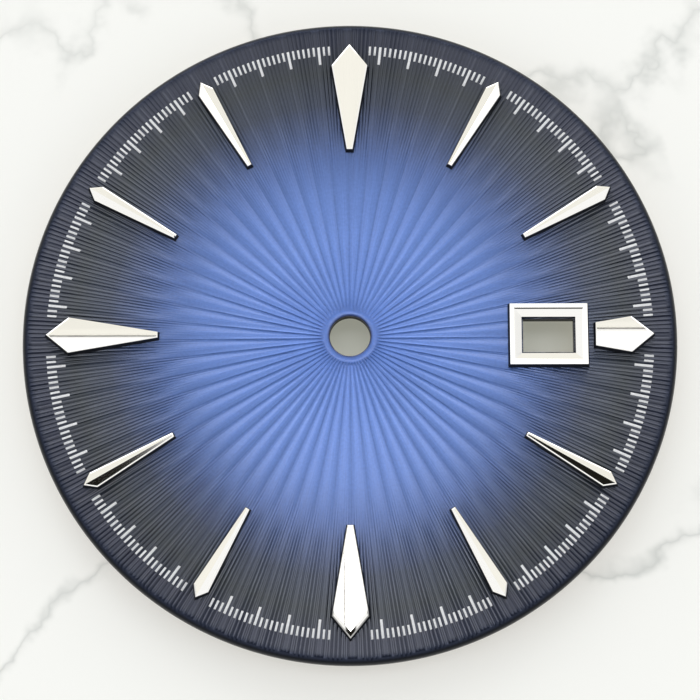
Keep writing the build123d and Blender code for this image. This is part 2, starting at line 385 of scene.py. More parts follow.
@dataclass(frozen=True)
class FadedLacquer(Finish):
    """Translucent lacquer over brushed brass, sprayed blue and faded to charcoal.

    The brushing under it runs out from the middle, so the blue shows fine bright
    and dark rays, and the clear coat gives a soft gloss.
    """

    plate_radius: float
    window_centre: float
    # The lacquer's colour is darkened on a border round the date opening: painted shade of the recess
    # under the frame.
    window_half: tuple[float, float] = (1.22, 0.86)   # reach of the dark border round the date opening
    window_painted_shade: float = 0.85        # share of the light that is lost on that border
    brush_width: float = 0.0075       # of a streak, as a share of its radius
    brush_length: float = 1.6
    brush_detail: float = 3.0         # number of finer layers
    brush_light: tuple[float, float] = (0.91, 1.09)   # darkest and lightest streak
    brush_roughness: tuple[float, float] = (0.31, 0.39)
    brush_depth: float = 0.02
    brush_relief: float = 0.25        # share of that depth that shows
    grain: float = 0.12
    grain_light: tuple[float, float] = (0.94, 1.06)
    coat_end: tuple[float, float] = (0.965, 0.985)    # shares of the radius where the coat thins
    coat_weight: tuple[float, float] = (1.0, 0.1)     # before and past them
    # The darkest stops, up to 0.0635 on the hole's rolled edge and from 0.992 on the outer rolled edge,
    # are painted shade; the fade from blue to charcoal between them is the lacquer's own.
    stops: tuple[tuple[float, str], ...] = (          # share of the radius, and colour
        (0.00, "121C39"), (0.0635, "1A2B60"), (0.07, "4265AF"), (0.13, "5578C4"), (0.30, "5778BF"),
        (0.45, "4D6CAE"), (0.56, "3E5993"), (0.66, "3A4B73"), (0.74, "303A50"), (0.84, "2A313A"),
        (0.94, "242A3E"), (0.982, "252C3F"), (0.992, "10131B"), (1.00, "0E1118"),
    )

    def fixed(self) -> dict:
        """A metallic ground, brushed outwards, under a thin clear coat."""
        return {"Metallic": 0.85, "Anisotropic": 0.2, "Coat Roughness": 0.20, "Coat IOR": 1.5}

    def painted_shade_border(self, tree: Tree, point: Socket) -> Socket:
        """Tell the border round the date opening, which gets painted shade, from the rest of the dial.

        Args:
            tree: The material's node tree.
            point: Socket of the point in metres.

        Returns:
            Socket that is 1 on the border and 0 elsewhere.
        """
        parts = add_node(tree, "ShaderNodeSeparateXYZ", {0: point}).outputs
        inside = 1.0
        for part, centre, half in zip(parts, (self.window_centre, 0.0), self.window_half):
            from_middle = add_node(
                tree, "ShaderNodeMath", {0: part, 1: centre * MM}, operation="SUBTRACT"
            ).outputs[0]
            away = add_node(tree, "ShaderNodeMath", {0: from_middle}, operation="ABSOLUTE").outputs[0]
            near = add_node(
                tree, "ShaderNodeMath", {0: away, 1: half * MM}, operation="LESS_THAN"
            ).outputs[0]
            inside = add_node(
                tree, "ShaderNodeMath", {0: near, 1: inside}, operation="MULTIPLY"
            ).outputs[0]
        return inside

    def fade(self, tree: Tree, share: Socket) -> Socket:
        """Colour of the lacquer by its distance from the middle, with painted shade on the rolled edges
        of the hole and the rim.

        Args:
            tree: The material's node tree.
            share: Socket of the share of the plate's radius.

        Returns:
            Socket of the colour.
        """
        ramp = add_node(tree, "ShaderNodeValToRGB", {"Fac": share})
        first, last = ramp.color_ramp.elements[0], ramp.color_ramp.elements[-1]
        first.position, first.color = self.stops[0][0], linear_colour(self.stops[0][1])
        last.position, last.color = self.stops[-1][0], linear_colour(self.stops[-1][1])
        for position, code in self.stops[1:-1]:
            ramp.color_ramp.elements.new(position).color = linear_colour(code)
        return ramp.outputs["Color"]

    def dress(self, tree: Tree, shader: bpy.types.Node) -> None:
        """Colour by radius, with radial brushing in colour, roughness and bump, and painted shade round
        the date opening.

        Args:
            tree: The material's node tree.
            shader: Its Principled shader.
        """
        point, radius, outwards = place_nodes(tree)
        share = add_node(
            tree, "ShaderNodeMath", {0: radius, 1: self.plate_radius}, operation="DIVIDE"
        ).outputs[0]
        brush = streaks(
            tree, radius, outwards, self.brush_length, self.brush_width, self.brush_detail
        )
        grain = add_node(
            tree, "ShaderNodeTexNoise", {"Vector": point, "Scale": 1 / (self.grain * MM), "Detail": 2.0}
        ).outputs["Fac"]
        light = add_node(tree, "ShaderNodeMath", {
            0: spread(tree, brush, *self.brush_light), 1: spread(tree, grain, *self.grain_light)
        }, operation="MULTIPLY").outputs[0]
        # painted shade: darken the colour on the border round the date opening
        shade = add_node(tree, "ShaderNodeMath", {
            0: self.painted_shade_border(tree, point), 1: -self.window_painted_shade, 2: 1.0
        }, operation="MULTIPLY_ADD").outputs[0]
        light = add_node(tree, "ShaderNodeMath", {0: light, 1: shade}, operation="MULTIPLY").outputs[0]
        colour = add_node(
            tree, "ShaderNodeVectorMath", {0: self.fade(tree, share), "Scale": light}, operation="SCALE"
        ).outputs[0]
        tree.links.new(colour, shader.inputs["Base Color"])
        tree.links.new(spread(tree, brush, *self.brush_roughness), shader.inputs["Roughness"])
        round_axis = add_node(
            tree, "ShaderNodeVectorMath", {0: (0, 0, 1), 1: outwards}, operation="CROSS_PRODUCT"
        ).outputs[0]
        tree.links.new(round_axis, shader.inputs["Tangent"])
        coat = add_node(tree, "ShaderNodeMapRange", {
            "Value": share, "From Min": self.coat_end[0], "From Max": self.coat_end[1],
            "To Min": self.coat_weight[0], "To Max": self.coat_weight[1],
        }).outputs[0]
        tree.links.new(coat, shader.inputs["Coat Weight"])
        bump = add_node(tree, "ShaderNodeBump", {
            "Height": brush, "Strength": self.brush_relief, "Distance": self.brush_depth * MM
        })
        tree.links.new(bump.outputs[0], shader.inputs["Normal"])


@dataclass(frozen=True)
class PatternedFinish(Finish):
    """A finish of one colour, with one pattern in its light, its gloss and its relief."""

    colour: str = "FFFFFF"
    mottle: float = 0.1               # size of the pattern, where it is a mottling
    detail: float = 2.0               # number of its finer layers
    light: tuple[float, float] = (1.0, 1.0)           # where the pattern is low, and where high
    roughness: tuple[float, float] | None = None      # the same, or none for an even gloss
    depth: float = 0.0
    relief: float = 0.0               # share of that depth that shows

    def pattern(self, tree: Tree) -> Socket:
        """Add the pattern's nodes: a mottling, unless the finish has another.

        Args:
            tree: The material's node tree.

        Returns:
            Socket of the pattern, a noise.
        """
        point = add_node(tree, "ShaderNodeTexCoord").outputs["Object"]
        return add_node(tree, "ShaderNodeTexNoise", {
            "Vector": point, "Scale": 1 / (self.mottle * MM), "Detail": self.detail
        }).outputs["Fac"]

    def dress(self, tree: Tree, shader: bpy.types.Node) -> None:
        """Carry the pattern over to colour, roughness and bump.

        Args:
            tree: The material's node tree.
            shader: Its Principled shader.
        """
        pattern = self.pattern(tree)
        tint(tree, shader, self.colour, spread(tree, pattern, *self.light))
        if self.roughness:
            tree.links.new(spread(tree, pattern, *self.roughness), shader.inputs["Roughness"])
        if self.relief:
            bump = add_node(tree, "ShaderNodeBump", {
                "Height": pattern, "Strength": self.relief, "Distance": self.depth * MM
            })
            tree.links.new(bump.outputs[0], shader.inputs["Normal"])


@dataclass(frozen=True)
class PadPrintedInk(PatternedFinish):
    """Pale grey-white ink pressed on by a soft pad, so it is matt and a little uneven."""

    colour: str = "E0E2E6"
    mottle: float = 0.08
    light: tuple[float, float] = (0.88, 1.0)
    depth: float = 0.01
    relief: float = 0.3

    def fixed(self) -> dict:
        """Matt ink."""
        return {"Roughness": 0.5, "Specular IOR Level": 0.3}


@dataclass(frozen=True)
class PolishedRhodium(PatternedFinish):
    """Diamond-cut brass with rhodium plating: a white mirror with the faintest hairlines."""

    colour: str = "FBFAF6"
    light: tuple[float, float] = (0.97, 1.0)
    roughness: tuple[float, float] = (0.035, 0.075)
    hairline_width: float = 0.012
    hairline_length: float = 1.2
    hairline_radius: float = 10.0     # at which a hairline has that width

    def fixed(self) -> dict:
        """Bare polished metal."""
        return {"Metallic": 1.0}

    def pattern(self, tree: Tree) -> Socket:
        """Hairlines from the diamond tool, which run along the radius.

        Args:
            tree: The material's node tree.

        Returns:
            Socket of the pattern, a noise.
        """
        _, radius, outwards = place_nodes(tree)
        width = self.hairline_width / self.hairline_radius
        return streaks(tree, radius, outwards, self.hairline_length, width, self.detail)


@dataclass(frozen=True)
class DullShadedFlank(PatternedFinish):
    """Sides and punched edges that no tool polished: half matt, and dark with painted shade.

    The dark colour is painted shade and painted dark reflection of the steep sides, which draws a dark
    line round a piece.
    """

    # painted shade: this near-black colour stands for the shade on the sides and the dark dial they
    # mirror
    colour: str = "1B1D24"
    mottle: float = 0.06
    light: tuple[float, float] = (0.7, 1.2)
    roughness: tuple[float, float] = (0.45, 0.60)

    def fixed(self) -> dict:
        """Half matt and barely metallic."""
        return {"Metallic": 0.3, "Specular IOR Level": 0.25}


@dataclass(frozen=True)
class TurnedBrass(Finish):
    """Bare rolled brass faced on a lathe: fine rings round the centre and a few dull stains."""

    colour: str = "C6A15A"
    ring_pitch: float = 0.16          # drawn coarser than the real feed, so that it shows
    ring_light: tuple[float, float] = (0.85, 1.0)
    ring_depth: float = 0.02
    ring_relief: float = 0.4          # share of that depth that shows
    stain: float = 3.0
    stain_light: tuple[float, float] = (0.88, 1.0)
    stain_roughness: tuple[float, float] = (0.42, 0.24)

    def fixed(self) -> dict:
        """Bare metal."""
        return {"Metallic": 1.0}

    def dress(self, tree: Tree, shader: bpy.types.Node) -> None:
        """Tool rings by radius, with soft stains over them.

        Args:
            tree: The material's node tree.
            shader: Its Principled shader.
        """
        point, radius, _ = place_nodes(tree)
        place = add_node(
            tree, "ShaderNodeMath", {0: radius, 1: self.ring_pitch}, operation="DIVIDE"
        ).outputs[0]
        ring = add_node(
            tree, "ShaderNodeTexNoise", {"W": place, "Scale": 1.0, "Detail": 3.0}, noise_dimensions="1D"
        ).outputs["Fac"]
        stain = add_node(
            tree, "ShaderNodeTexNoise", {"Vector": point, "Scale": 1 / (self.stain * MM), "Detail": 4.0}
        ).outputs["Fac"]
        light = add_node(tree, "ShaderNodeMath", {
            0: spread(tree, ring, *self.ring_light), 1: spread(tree, stain, *self.stain_light)
        }, operation="MULTIPLY").outputs[0]
        tint(tree, shader, self.colour, light)
        tree.links.new(spread(tree, stain, *self.stain_roughness), shader.inputs["Roughness"])
        bump = add_node(tree, "ShaderNodeBump", {
            "Height": ring, "Strength": self.ring_relief, "Distance": self.ring_depth * MM
        })
        tree.links.new(bump.outputs[0], shader.inputs["Normal"])


@dataclass(frozen=True)
class AmberCement(PatternedFinish):
    """Clear cement that has yellowed: glossy, a little see-through and cloudy."""

    colour: str = "B7853A"
    mottle: float = 0.3
    detail: float = 3.0
    light: tuple[float, float] = (0.7, 1.1)

    def fixed(self) -> dict:
        """A glossy resin that lets some light in."""
        return {"Roughness": 0.22, "IOR": 1.52, "Subsurface Weight": 0.35, "Subsurface Scale": 0.2 * MM}


@dataclass(frozen=True)
class DrawnCopper(PatternedFinish):
    """Copper wire drawn through a die: fine lines along it that break up its shine."""

    colour: str = "C98460"
    light: tuple[float, float] = (0.78, 1.0)
    roughness: tuple[float, float] = (0.24, 0.42)
    line_width: float = 0.03
    line_length: float = 2.0

    def fixed(self) -> dict:
        """Bare metal."""
        return {"Metallic": 1.0}

    def pattern(self, tree: Tree) -> Socket:
        """Lines from the die, which run along Z.

        Args:
            tree: The material's node tree.

        Returns:
            Socket of the pattern, a noise.
        """
        point = add_node(tree, "ShaderNodeTexCoord").outputs["Object"]
        stretch = 1 / (np.array([self.line_width, self.line_width, self.line_length]) * MM)
        vector = add_node(
            tree, "ShaderNodeVectorMath", {0: point, 1: stretch.tolist()}, operation="MULTIPLY"
        ).outputs[0]
        return add_node(
            tree, "ShaderNodeTexNoise", {"Vector": vector, "Scale": 1.0, "Detail": self.detail}
        ).outputs["Fac"]


@dataclass(frozen=True)
class MarbleSlab(Finish):
    """Honed white marble under the dial, with faint grey veins and a soft shadow.

    Part of what the camera and mirrors see is the colour itself, so that the slab
    stays pale. Under the dial that part is smaller and takes the cooler shade colour,
    a painted shade that its openings look down on.
    """

    dial_radius: float
    colour: str = "F8F9F6"
    vein_colour: str = "BCC0BD"
    shade_colour: str = "D8E4DC"
    vein_size: float = 18.0           # of the bends in the veins
    vein_level: float = 0.5           # value of the noise along which the veins run
    vein_width: float = 0.022         # reach of a vein on both sides, in the same values
    vein_spacing: float = 0.35        # scale of the noise that the veins follow
    vein_pull: float = 1.6            # the larger, the less the bends move that noise
    vein_falloff: float = 3.0
    vein_strength: float = 0.9
    own_light_share: float = 0.48
    shaded_share: float = 0.29
    shade_start: float = 0.70         # share of the dial's radius where the shade begins to lift

    def veins(self, tree: Tree, point: Socket) -> Socket:
        """Colour of the slab: veins run where a warped noise crosses one value.

        Args:
            tree: The material's node tree.
            point: Socket of the point in metres.

        Returns:
            Socket of the colour.
        """
        scale = 1 / (self.vein_size * MM)
        warp = add_node(tree, "ShaderNodeTexNoise", {
            "Vector": point, "Scale": scale, "Detail": 6.0, "Roughness": 0.6
        }).outputs["Color"]
        moved = add_node(tree, "ShaderNodeVectorMath", {
            0: point, 1: (self.vein_pull * scale,) * 3, 2: warp
        }, operation="MULTIPLY_ADD").outputs[0]
        noise = add_node(
            tree, "ShaderNodeTexNoise", {"Vector": moved, "Scale": self.vein_spacing, "Detail": 5.0}
        ).outputs["Fac"]
        above = add_node(
            tree, "ShaderNodeMath", {0: noise, 1: self.vein_level}, operation="SUBTRACT"
        ).outputs[0]
        away = add_node(tree, "ShaderNodeMath", {0: above}, operation="ABSOLUTE").outputs[0]
        line = add_node(tree, "ShaderNodeMapRange", {
            "Value": away, "From Min": 0.0, "From Max": self.vein_width, "To Min": 1.0, "To Max": 0.0
        }).outputs[0]
        line = add_node(
            tree, "ShaderNodeMath", {0: line, 1: self.vein_falloff}, operation="POWER"
        ).outputs[0]
        line = add_node(tree, "ShaderNodeMath", {
            0: line, 1: spread(tree, warp, 0.0, self.vein_strength)
        }, operation="MULTIPLY").outputs[0]
        return add_node(tree, "ShaderNodeMix", {
            0: line, 6: linear_colour(self.colour), 7: linear_colour(self.vein_colour)
        }, data_type="RGBA").outputs[2]

    def shade(self, tree: Tree) -> Socket:
        """Matt colour, mixed for the camera and mirrors with its own plain colour.

        Args:
            tree: The material's node tree.

        Returns:
            Socket of the finished surface.
        """
        point, radius, _ = place_nodes(tree)
        colour = self.veins(tree, point)
        matt = add_node(tree, "ShaderNodeBsdfDiffuse", {"Color": colour})
        open_air = add_node(tree, "ShaderNodeMapRange", {
            "Value": radius,
            "From Min": self.dial_radius * self.shade_start, "From Max": self.dial_radius,
        }).outputs[0]
        # painted shade: under the dial the glow takes the cooler shade colour
        shown = add_node(tree, "ShaderNodeMix", {
            0: open_air, 6: linear_colour(self.shade_colour), 7: colour
        }, data_type="RGBA").outputs[2]
        plain = add_node(tree, "ShaderNodeEmission", {"Color": shown, "Strength": 1.0})
        path = add_node(tree, "ShaderNodeLightPath").outputs
        seen = path["Is Camera Ray"]
        for ray in ("Is Glossy Ray", "Is Transmission Ray"):
            seen = add_node(
                tree, "ShaderNodeMath", {0: seen, 1: path[ray]}, operation="ADD", use_clamp=True
            ).outputs[0]
        share = add_node(tree, "ShaderNodeMath", {
            0: open_air, 1: self.own_light_share - self.shaded_share, 2: self.shaded_share
        }, operation="MULTIPLY_ADD").outputs[0]
        share = add_node(tree, "ShaderNodeMath", {0: seen, 1: share}, operation="MULTIPLY").outputs[0]
        return add_node(
            tree, "ShaderNodeMixShader", {0: share, 1: matt.outputs[0], 2: plain.outputs[0]}
        ).outputs[0]


# The polish, and the sides with painted shade, of a marker and of the frame
APPLIED_FINISHES = [PolishedRhodium("polished_rhodium"), DullShadedFlank("dull_shaded_flank")]


@dataclass
class DialPlate:
    """Pressed plate: concave flutes with sharp crests, and fine ribs in their outer half."""

    radius: float
    crest: float = 0.50               # height of the flutes' crests over the back face
    top: float = 0.52                 # height of the plain ring round the hole
    hole_radius: float = 0.88
    hole_roll: float = 0.10
    ring_radius: float = 1.10
    ring_step: float = 0.26           # over which the flutes rise out of the plain ring
    flute_depth: float = 0.056        # of the wide hollows, at the plate's edge
    cusp_depth: float = 0.030         # of the steep flanks beside each crest
    cusp_width: float = 0.14
    calm_share: float = 0.42          # by which the flutes are shallower past calm_zone
    calm_zone: tuple[float, float] = (2.6, 6.0)
    pattern_shift: float = 0.09       # how far the pressing lies towards six o'clock
    pattern_turn: float = -0.33       # degrees clockwise that the pressing is turned
    edge_radius: float = 0.45
    back_chamfer: float = 0.06
    ribs_per_flute: int = 7
    rib_pitch: float = 0.1304         # of a flute's width
    rib_height: float = 0.026
    rib_start: float = 6.6            # radius where the ribs begin to show
    rib_full: float = 11.0
    samples_per_flute: int = 44
    sharp_angle: float = 22.0         # degrees between faces, past which an edge is crisp
    window_length: float = 2.20
    window_width: float = 1.47
    roll_turns: tuple[float, ...] = (0, 22.5, 45, 67.5, 90)
    ring_shares: tuple[float, ...] = (0, 0.2, 0.4, 0.6, 0.8, 1)
    front_rows: tuple[float, ...] = (
        2.1, 3.2, 4.6, 6.0, 7.2, 8.2, 9.2, 10.3, 11.4, 12.4, 13.2, 13.6
    )
    edge_turns: tuple[float, ...] = (0, 14, 26, 38, 50, 62, 76, 90)

    def ribs(self, radius: np.ndarray, share: np.ndarray) -> np.ndarray:
        """Height of the ribs: narrow rounded ridges side by side round the valley.

        Each is the fourth power of half a cosine wave, and together they rise
        with the radius.

        Args:
            radius: Distance from the dial's axis.
            share: Share of the way across the flute, 0.5 in its middle.

        Returns:
            Heights in millimetres.
        """
        place = (share - 0.5) / self.rib_pitch
        wave = np.where(np.abs(place) < self.ribs_per_flute / 2, np.cos(np.pi * place) ** 2, 0)
        return self.rib_height * smooth_step(radius, self.rib_start, self.rib_full) * wave ** 2

    def front(self, x: np.ndarray, y: np.ndarray) -> np.ndarray:
        """Height of the front over the back face.

        The flutes are parabolas between the crests, as deep as the radius makes
        them, and close to each crest an exponential of the distance from it makes
        their flanks steeper. Both grow calmer outwards. The rounded edge cuts
        across them.

        Args:
            x: Place towards three o'clock.
            y: Place towards twelve o'clock.

        Returns:
            Heights in millimetres.
        """
        radius = np.hypot(x, y)
        turn = np.degrees(np.arctan2(x, y + self.pattern_shift)) - self.pattern_turn
        share = np.mod(turn / FLUTE_ANGLE, 1)
        flute = self.flute_depth * radius / self.radius * 4 * share * (1 - share)
        distance = np.minimum(share, 1 - share) * np.radians(FLUTE_ANGLE) * radius
        flute = flute + self.cusp_depth * (1 - np.exp(-distance / self.cusp_width))
        flute = flute * (1 - self.calm_share * smooth_step(radius, *self.calm_zone))
        fluted = self.crest - flute + self.ribs(radius, share)
        past = np.clip((radius - self.radius + self.edge_radius) / self.edge_radius, 0, 1)
        blank = self.top - self.edge_radius * (1 - np.sqrt(1 - past * past))
        ease = smooth_step(radius, self.ring_radius, self.ring_radius + self.ring_step)
        return np.minimum(blank, self.top + (fluted - self.top) * ease)

    def rows(self) -> tuple[np.ndarray, np.ndarray, np.ndarray]:
        """Rings of vertices that make up the plate.

        They go up the hole, over its rolled edge, out over the front, round the
        edge and down to the back.

        Returns:
            Radius and plain height of each ring, and whether it lies on the front.
        """
        roll = np.radians(self.roll_turns)
        roll_radii = self.hole_radius + self.hole_roll * (1 - np.cos(roll))
        roll_heights = self.top - self.hole_roll * (1 - np.sin(roll))
        edge_radii = self.radius - self.edge_radius * (1 - np.sin(np.radians(self.edge_turns)))
        inner = self.ring_radius + self.ring_step * np.array(self.ring_shares)
        front = np.concatenate([inner, self.front_rows, edge_radii])
        radii = np.concatenate([
            [self.hole_radius], roll_radii, front, [self.radius, self.radius - self.back_chamfer]
        ])
        heights = np.concatenate([[0.0], roll_heights, front * 0, [self.back_chamfer, 0.0]])
        on_front = np.repeat([False, True, False], [1 + len(roll), len(front), 2])
        return radii, heights, on_front

    def surface(self) -> Surface:
        """The whole plate as one grid: rings by clock angle, closed both ways.

        Its columns are rays from the pressing's own centre, so that the crests lie
        on them, and each ring cuts the rays where their distance from the dial's
        axis is the ring's radius.

        Returns:
            The closed mesh.
        """
        radii, heights, on_front = self.rows()
        columns = FLUTES * self.samples_per_flute
        rays = np.radians(np.arange(columns) * 360.0 / columns + self.pattern_turn)
        radius, ray = np.meshgrid(radii, rays, indexing="ij")
        shift = self.pattern_shift
        reach = shift * np.cos(ray) + np.sqrt(radius ** 2 - (shift * np.sin(ray)) ** 2)
        x, y = reach * np.sin(ray), reach * np.cos(ray) - shift
        height = np.where(on_front[:, None], self.front(x, y), heights[:, None])
        points = np.stack([x, y, height], axis=-1)
        index = ring_numbers(len(radii), columns)
        quads = grid_quads(np.vstack([index, index[:1]]))
        # The hole's wall takes the third finish, the edge with painted shade.
        finish = np.zeros(len(radii))          # the lacquer, but for the hole's wall and the back
        finish[0], finish[-2:] = 2, 1
        return Surface(points.reshape(-1, 3), quads.tolist(), np.repeat(finish, columns))

    def cut_window(self, plate: bpy.types.Object, centre: float, finish: Finish) -> None:
        """Punch the date opening through the plate.

        Args:
            plate: The plate's object, whose mesh is replaced.
            centre: Distance of the opening from the dial's axis.
            finish: Finish of the opening's walls, dark with painted shade.
        """
        sign = np.array([[x, y, z] for x in (-1, 1) for y in (-1, 1) for z in (-1, 1)])
        half = np.array([self.window_length / 2, self.window_width / 2, self.top])
        corners = sign * half + [centre, 0, self.top / 2]
        faces = [[0, 1, 3, 2], [4, 6, 7, 5], [0, 4, 5, 1], [2, 3, 7, 6], [0, 2, 6, 4], [1, 5, 7, 3]]
        punch = Surface(corners, faces).make("window_punch", [finish])
        cut = plate.modifiers.new("date opening", "BOOLEAN")
        cut.object = punch
        cut.operation = "DIFFERENCE"
        cut.solver = "EXACT"
        cut.material_mode = "TRANSFER"
        graph = bpy.context.evaluated_depsgraph_get()
        mesh = bpy.data.meshes.new_from_object(plate.evaluated_get(graph))
        mesh.set_sharp_from_angle(angle=math.radians(self.sharp_angle))
        plate.modifiers.clear()
        plate.data = mesh
        bpy.data.objects.remove(punch)

    def build(self, window_centre: float) -> None:
        """Make the plate with its date opening and its finishes.

        Args:
            window_centre: Distance of the opening from the dial's axis.
        """
        lacquer = FadedLacquer("faded_lacquer", self.radius, window_centre)
        brass = TurnedBrass("turned_brass")
        # The walls of the date opening and of the hole take a near-black flank finish: painted shade in
        # these recesses.
        edge = DullShadedFlank("punched_edge_painted_shade", "15161B")
        plate = self.surface().make("dial_plate_dressed", [lacquer, brass, edge], self.sharp_angle)
        self.cut_window(plate, window_centre, edge)
        seat(plate, Slot.PLATE, "dial_plate")


@dataclass
class MinuteScale:
    """Pad-printed marks that follow the flutes and ribs under them."""

    plate: DialPlate
    outer_radius: float
    long_length: float = 0.83
    long_width: float = 0.12
    short_length: float = 0.42
    short_width: float = 0.10
    ink: float = 0.02
    sunk: float = 0.004
    divisions_per_flute: int = 6
    wide_gap: int = 3                 # short marks left out each side of a wide marker
    narrow_gap: int = 2
    across_shares: tuple[float, ...] = (-1, -0.8, 0, 0.8, 1)          # of half the width
    along_shares: tuple[float, ...] = (0, 0.07, 0.36, 0.64, 0.93, 1)
    sharp_angle: float = 40.0

    def angles(self) -> tuple[np.ndarray, np.ndarray]:
        """Divide the dial, and leave the marks out where markers stand.

        Returns:
            Clock angles of the long and of the short marks.
        """
        division = np.arange(FLUTES * self.divisions_per_flute)
        per_hour = len(division) // HOURS
        nearest = np.round(division / per_hour).astype(int)
        distance = np.abs(division - nearest * per_hour)
        gap = np.where(nearest % 3 == 0, self.wide_gap, self.narrow_gap)
        on_minute = division % self.divisions_per_flute == 0
        step = FLUTE_ANGLE / self.divisions_per_flute
        long_marks = on_minute & (distance > 0)
        short_marks = ~on_minute & (distance > gap)
        return division[long_marks] * step, division[short_marks] * step

    def surface(self, angles: np.ndarray, length: float, width: float) -> Surface:
        """Flat cushions of ink, one for each angle.

        The upper grid lies on the plate and is lifted by the ink's thickness away
        from its border. The lower grid is sunk a hair under the plate's surface.

        Args:
            angles: Clock angles of the marks.
            length: Length of a mark, inwards from the outer radius.
            width: Its width.

        Returns:
            The closed mesh of all the marks.
        """
        across = np.array(self.across_shares) * width / 2
        along = np.array(self.along_shares) * length
        u, v = np.meshgrid(across, along, indexing="ij")
        lift = np.full(u.shape, -self.sunk)
        lift[1:-1, 1:-1] = self.ink
        flat = np.stack([u, self.outer_radius - v, 0 * u], axis=-1)
        points = turned(flat[None], angles[:, None, None])
        ground = self.plate.front(points[..., 0], points[..., 1])
        top, low = points.copy(), points.copy()
        top[..., 2] = ground + lift
        low[..., 2] = ground - self.sunk
        count = u.size
        upper = np.arange(count).reshape(u.shape)
        lower = upper.copy()
        inner = np.zeros(u.shape, bool)
        inner[1:-1, 1:-1] = True
        lower[inner] = count + np.arange(inner.sum())
        quads = np.vstack([grid_quads(upper)[:, ::-1], grid_quads(lower)])
        vertices = np.concatenate([
            top.reshape(len(angles), count, 3), low[:, inner].reshape(len(angles), -1, 3)
        ], axis=1)
        offsets = np.arange(len(angles)) * vertices.shape[1]
        faces = (quads[None] + offsets[:, None, None]).reshape(-1, 4)
        return Surface(vertices.reshape(-1, 3), faces.tolist())

    def build(self) -> None:
        """Print the long and the short marks."""
        long_angles, short_angles = self.angles()
        ink = PadPrintedInk("pad_printed_ink")
        minutes = self.surface(long_angles, self.long_length, self.long_width)
        seat(minutes.make("minute_marks_printed", [ink], self.sharp_angle), Slot.INK, "minute_marks")
        seconds = self.surface(short_angles, self.short_length, self.short_width)
        seat(seconds.make("second_marks_printed", [ink], self.sharp_angle), Slot.INK, "second_marks")


